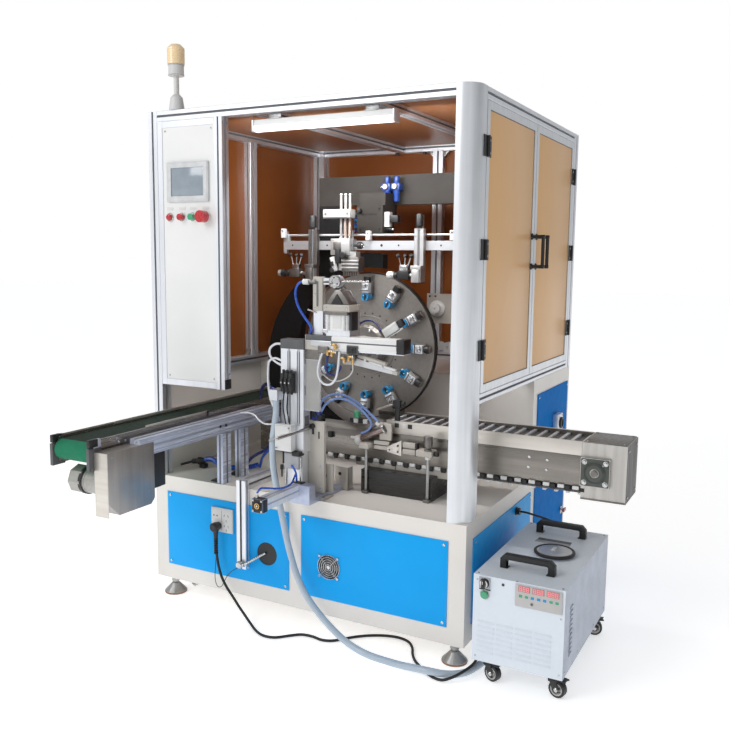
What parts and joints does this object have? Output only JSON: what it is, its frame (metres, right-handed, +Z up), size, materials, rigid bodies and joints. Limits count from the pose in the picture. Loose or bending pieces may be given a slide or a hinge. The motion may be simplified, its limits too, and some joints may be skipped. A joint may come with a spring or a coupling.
{
  "type": "uv exposure unit",
  "caption": "Enclosed rotary print and UV cure machine with an indexing dial, slat infeed and belt outfeed conveyors, side doors, and a wheeled cooling unit joined by hose and cords.",
  "frame": {"origin": "on the floor, under the middle of the box around everything except the hose and cords", "axes": "+X along the front towards the infeed conveyor's drive end, +Y from the front opening into the machine, +Z up"},
  "size_m": [1.612, 1.674, 1.9376],
  "materials": {
    "cream_paint": "satin powder coat",
    "blue_paint": "satin powder coat",
    "white_paint": "satin powder coat",
    "black_paint": "satin black",
    "aluminium": "clear anodised",
    "steel": "brushed stainless",
    "dark_steel": "dark machined steel",
    "amber_plastic": "tinted sheet",
    "green_belt": "coated belt",
    "cable_rubber": "matte",
    "grey_hose": "smooth",
    "grey_plastic": "moulded",
    "black_plastic": "moulded",
    "red_plastic": "moulded",
    "green_plastic": "moulded",
    "lens_plastic": "translucent"
  },
  "bodies": {
    "machine": {"base_cabinet": "cream_paint", "front_panel_left": "blue_paint", "front_panel_right": "blue_paint", "side_panel_front": "blue_paint", "side_panel_rear": "blue_paint", "foot_front_left": "steel", "foot_front_right": "steel", "foot_rear_left": "steel", "foot_rear_right": "steel", "corner_post": "aluminium", "enclosure_frame": "aluminium", "roof_panel": "amber_plastic", "left_wall_panel": "amber_plastic", "rear_wall_panel": "amber_plastic", "control_cabinet": "aluminium", "control_panel": "white_paint", "touch_screen": "grey_plastic", "signal_pole": "grey_plastic", "signal_lens": "lens_plastic", "lamp_fixture": "white_paint", "support_frame": "black_paint", "dial_bearing": "dark_steel", "head_rail": "aluminium", "cross_rail": "aluminium", "lift_column": "aluminium", "infeed_frame": "steel", "slat_belt": "grey_plastic", "infeed_drive_box": "steel", "outfeed_frame": "aluminium", "outfeed_belt": "green_belt", "drive_cover": "steel", "gear_motor": "steel", "cooler_body": "white_paint", "cooler_handle_front": "black_plastic", "cooler_handle_rear": "black_plastic", "mains_plug": "black_plastic", "mains_cord": "cable_rubber", "coolant_hose": "grey_hose", "link_cable": "cable_rubber"},
    "door_front": {"side_door_front": "amber_plastic"},
    "door_rear": {"side_door_rear": "amber_plastic"},
    "stop": {"stop_button": "red_plastic"},
    "start": {"start_button": "green_plastic"},
    "emergency": {"emergency_stop": "red_plastic"},
    "dial": {"dial_plate": "steel", "dial_hub": "dark_steel"},
    "slide_left": {"head_slide_left": "aluminium"},
    "slide_right": {"head_slide_right": "aluminium"},
    "head": {"print_head": "aluminium"},
    "carriage": {"lift_carriage": "aluminium"},
    "grip": {"gripper": "steel"},
    "infeed_shaft": {"drive_shaft": "dark_steel"},
    "outfeed_roller": {"end_roller": "steel"},
    "cap": {"filler_cap": "grey_plastic"},
    "selector": {"cooler_switch": "black_plastic"},
    "push": {"cooler_button": "green_plastic"},
    "caster_a": {"caster_front_left": "black_plastic"},
    "caster_b": {"caster_front_right": "black_plastic"},
    "caster_c": {"caster_rear_left": "black_plastic"},
    "caster_d": {"caster_rear_right": "black_plastic"}
  },
  "joints": [
    {"name": "door_front_hinge", "type": "hinge", "parent": "machine", "child": "door_front", "pos_m": [0.4, -0.211, 1.26], "axis": [0, 0, 1], "range_deg": [-110, 0]},
    {"name": "door_rear_hinge", "type": "hinge", "parent": "machine", "child": "door_rear", "pos_m": [0.4, 0.775, 1.26], "axis": [0, 0, 1], "range_deg": [0, 110]},
    {"name": "stop_press", "type": "slide", "parent": "machine", "child": "stop", "axis": [0, 1, 0], "range_m": [0, 0.004], "stiffness_N_per_m": 400, "springref_m": -0.002},
    {"name": "start_press", "type": "slide", "parent": "machine", "child": "start", "axis": [0, 1, 0], "range_m": [0, 0.004], "stiffness_N_per_m": 400, "springref_m": -0.002},
    {"name": "emergency_press", "type": "slide", "parent": "machine", "child": "emergency", "axis": [0, 1, 0], "range_m": [0, 0.004], "stiffness_N_per_m": 800, "springref_m": -0.002},
    {"name": "dial_spin", "type": "hinge", "parent": "machine", "child": "dial", "pos_m": [-0.166, 0.137, 0.918], "axis": [0, 1, 0], "continuous": true},
    {"name": "head_slide_left_move", "type": "slide", "parent": "machine", "child": "slide_left", "axis": [1, 0, 0], "range_m": [-0.06, 0.03]},
    {"name": "head_slide_right_move", "type": "slide", "parent": "machine", "child": "slide_right", "axis": [1, 0, 0], "range_m": [-0.1, 0.06]},
    {"name": "head_lift", "type": "slide", "parent": "machine", "child": "head", "axis": [0, 0, 1], "range_m": [0, 0.06]},
    {"name": "carriage_lift", "type": "slide", "parent": "machine", "child": "carriage", "axis": [0, 0, 1], "range_m": [0, 0.06]},
    {"name": "gripper_reach", "type": "slide", "parent": "carriage", "child": "grip", "axis": [1, 0, 0], "range_m": [0, 0.1]},
    {"name": "infeed_shaft_spin", "type": "hinge", "parent": "machine", "child": "infeed_shaft", "pos_m": [0.717, -0.078, 0.611], "axis": [0, 1, 0], "continuous": true},
    {"name": "outfeed_roller_spin", "type": "hinge", "parent": "machine", "child": "outfeed_roller", "pos_m": [-0.636, -0.806, 0.661], "axis": [1, 0, 0], "continuous": true},
    {"name": "cap_turn", "type": "hinge", "parent": "machine", "child": "cap", "pos_m": [0.601, -0.074, 0.34], "axis": [0, 0, 1], "range_deg": [0, 180]},
    {"name": "selector_turn", "type": "hinge", "parent": "machine", "child": "selector", "pos_m": [0.474, -0.3463, 0.312], "axis": [0, 1, 0], "range_deg": [0, 90]},
    {"name": "cooler_button_press", "type": "slide", "parent": "machine", "child": "push", "axis": [0, 1, 0], "range_m": [0, 0.003], "stiffness_N_per_m": 400, "springref_m": -0.002},
    {"name": "caster_a_swivel", "type": "hinge", "parent": "machine", "child": "caster_a", "pos_m": [0.477, -0.297, 0.06], "axis": [0, 0, 1], "continuous": true},
    {"name": "caster_b_swivel", "type": "hinge", "parent": "machine", "child": "caster_b", "pos_m": [0.669, -0.297, 0.06], "axis": [0, 0, 1], "continuous": true},
    {"name": "caster_c_swivel", "type": "hinge", "parent": "machine", "child": "caster_c", "pos_m": [0.477, 0.151, 0.06], "axis": [0, 0, 1], "continuous": true},
    {"name": "caster_d_swivel", "type": "hinge", "parent": "machine", "child": "caster_d", "pos_m": [0.669, 0.151, 0.06], "axis": [0, 0, 1], "continuous": true}
  ]
}
